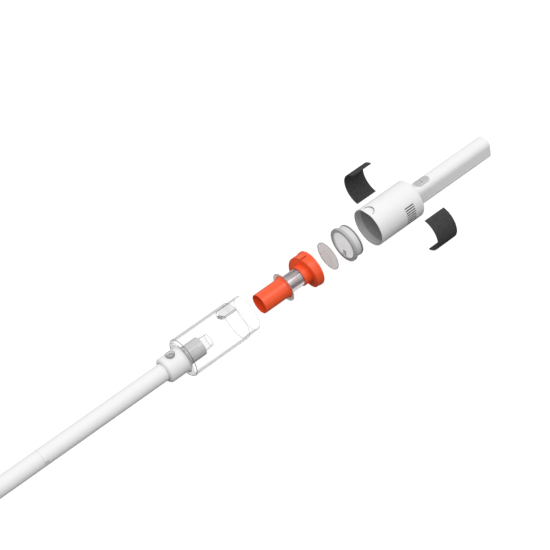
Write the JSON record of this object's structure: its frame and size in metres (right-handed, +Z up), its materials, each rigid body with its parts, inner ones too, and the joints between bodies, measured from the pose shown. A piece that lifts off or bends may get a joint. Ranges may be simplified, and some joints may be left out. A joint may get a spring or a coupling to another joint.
{
  "type": "cordless stick vacuum cleaner",
  "caption": "Inline cordless stick vacuum drawn taken apart along its axis: wand, collar, clear dust cup, cyclone, mesh disc, filter, motor body with handle, and foam pads.",
  "frame": {"origin": "On the floor, halfway along the whole machine as it lies taken apart, straight under its axis", "axes": "+X runs along the machine's axis from the wand to the handle, +Z is up, to the side with the keys, and +Y is to the left"},
  "size_m": [1.3092, 0.2502, 0.0741],
  "materials": {
    "white_shell": "satin",
    "clear_plastic": "clear",
    "grey_plastic": "satin",
    "orange_plastic": "satin",
    "skirt_plastic": "translucent",
    "steel_mesh": "fine mesh",
    "mesh_cloth": "fine mesh",
    "filter_paper": "pleated",
    "rubber": "matte",
    "foam": "open-cell foam",
    "inner_plastic": "matte",
    "steel": "brushed",
    "winding": "enamelled wire",
    "board": "solder mask",
    "cell_wrap": "shrink wrap",
    "lens": "translucent"
  },
  "bodies": {
    "motor_unit": {"motor_housing": "white_shell", "mouth_ring": "grey_plastic", "mouth_seal": "rubber", "filter_bulkhead": "inner_plastic", "fan_shroud": "inner_plastic", "motor_carrier": "inner_plastic", "stator": "winding", "motor_can": "steel", "motor_end_frame": "steel", "bearings": "steel", "rubber_mount": "rubber", "control_board": "board", "handle_sleeve": "white_shell", "handle_end_cap": "white_shell", "handle_screws": "steel", "charge_socket": "inner_plastic", "battery_cells": "cell_wrap", "cell_spacers": "inner_plastic", "key_board": "board", "key_switches": "inner_plastic", "light_lenses": "lens"},
    "fan": {"fan_wheel": "inner_plastic", "motor_shaft": "steel", "rotor": "steel"},
    "power_key": {"power_key": "grey_plastic"},
    "mode_key": {"mode_key": "grey_plastic"},
    "foam_left": {"foam_pad_left": "foam"},
    "foam_right": {"foam_pad_right": "foam"},
    "filter": {"filter_frame": "grey_plastic", "filter_media": "filter_paper", "filter_gasket": "rubber", "filter_tab": "mesh_cloth"},
    "prefilter": {"prefilter_mesh": "mesh_cloth", "prefilter_rim": "mesh_cloth"},
    "cyclone": {"cyclone_tube": "orange_plastic", "cyclone_skirt": "skirt_plastic", "mesh_screen": "steel_mesh", "riser_pipe": "orange_plastic", "volute_ramp": "orange_plastic", "cyclone_head": "orange_plastic"},
    "dust_cup": {"dust_cup": "clear_plastic", "neck_collar": "white_shell", "collar_button_spring": "steel", "wand_catch": "steel", "wand_seal": "rubber", "collar_screws": "steel", "latch_spring": "steel", "inlet_duct": "grey_plastic", "inlet_nozzle": "clear_plastic", "flap_seat": "grey_plastic", "flap_pin": "steel"},
    "cup_latch": {"cup_latch": "grey_plastic"},
    "collar_button": {"collar_button": "grey_plastic"},
    "inlet_flap": {"inlet_flap": "rubber"},
    "upper_wand": {"upper_wand_tube": "white_shell"},
    "lower_wand": {"lower_wand_tube": "white_shell", "wand_joiner": "grey_plastic", "wand_end_spigot": "grey_plastic"}
  },
  "joints": [
    {"name": "filter_seat", "type": "slide", "parent": "motor_unit", "child": "filter", "axis": [1, 0, 0], "range_m": [0, 0.0917]},
    {"name": "mesh_disc_seat", "type": "slide", "parent": "filter", "child": "prefilter", "axis": [1, 0, 0], "range_m": [0, 0.035]},
    {"name": "cyclone_seat", "type": "slide", "parent": "prefilter", "child": "cyclone", "axis": [1, 0, 0], "range_m": [0, 0.0387]},
    {"name": "cup_fit", "type": "slide", "parent": "cyclone", "child": "dust_cup", "axis": [1, 0, 0], "range_m": [0, 0.1435]},
    {"name": "wand_pull", "type": "slide", "parent": "dust_cup", "child": "upper_wand", "axis": [-1, 0, 0], "range_m": [0, 0.045]},
    {"name": "lower_wand_pull", "type": "slide", "parent": "upper_wand", "child": "lower_wand", "axis": [-1, 0, 0], "range_m": [0, 0.048]},
    {"name": "collar_button_press", "type": "slide", "parent": "dust_cup", "child": "collar_button", "axis": [0, 0, -1], "range_m": [0, 0.0015], "stiffness_N_per_m": 500, "springref_m": -0.002},
    {"name": "cup_latch_slide", "type": "slide", "parent": "dust_cup", "child": "cup_latch", "axis": [-1, 0, 0], "range_m": [0, 0.003], "stiffness_N_per_m": 500, "springref_m": -0.002},
    {"name": "power_key_press", "type": "slide", "parent": "motor_unit", "child": "power_key", "axis": [0, 0, -1], "range_m": [0, 0.001], "stiffness_N_per_m": 500, "springref_m": -0.002},
    {"name": "mode_key_press", "type": "slide", "parent": "motor_unit", "child": "mode_key", "axis": [0, 0, -1], "range_m": [0, 0.001], "stiffness_N_per_m": 500, "springref_m": -0.002},
    {"name": "left_foam_fit", "type": "slide", "parent": "motor_unit", "child": "foam_left", "axis": [0, -1, 0], "range_m": [0, 0.0764]},
    {"name": "right_foam_fit", "type": "slide", "parent": "motor_unit", "child": "foam_right", "axis": [0, 1, 0], "range_m": [0, 0.0764]},
    {"name": "inlet_flap_hinge", "type": "hinge", "parent": "dust_cup", "child": "inlet_flap", "pos_m": [-0.04765, 0, 0.0476], "axis": [0, -1, 0], "range_deg": [0, 60]},
    {"name": "fan_spin", "type": "hinge", "parent": "motor_unit", "child": "fan", "pos_m": [0.42225, 0, 0.037], "axis": [1, 0, 0], "continuous": true}
  ]
}
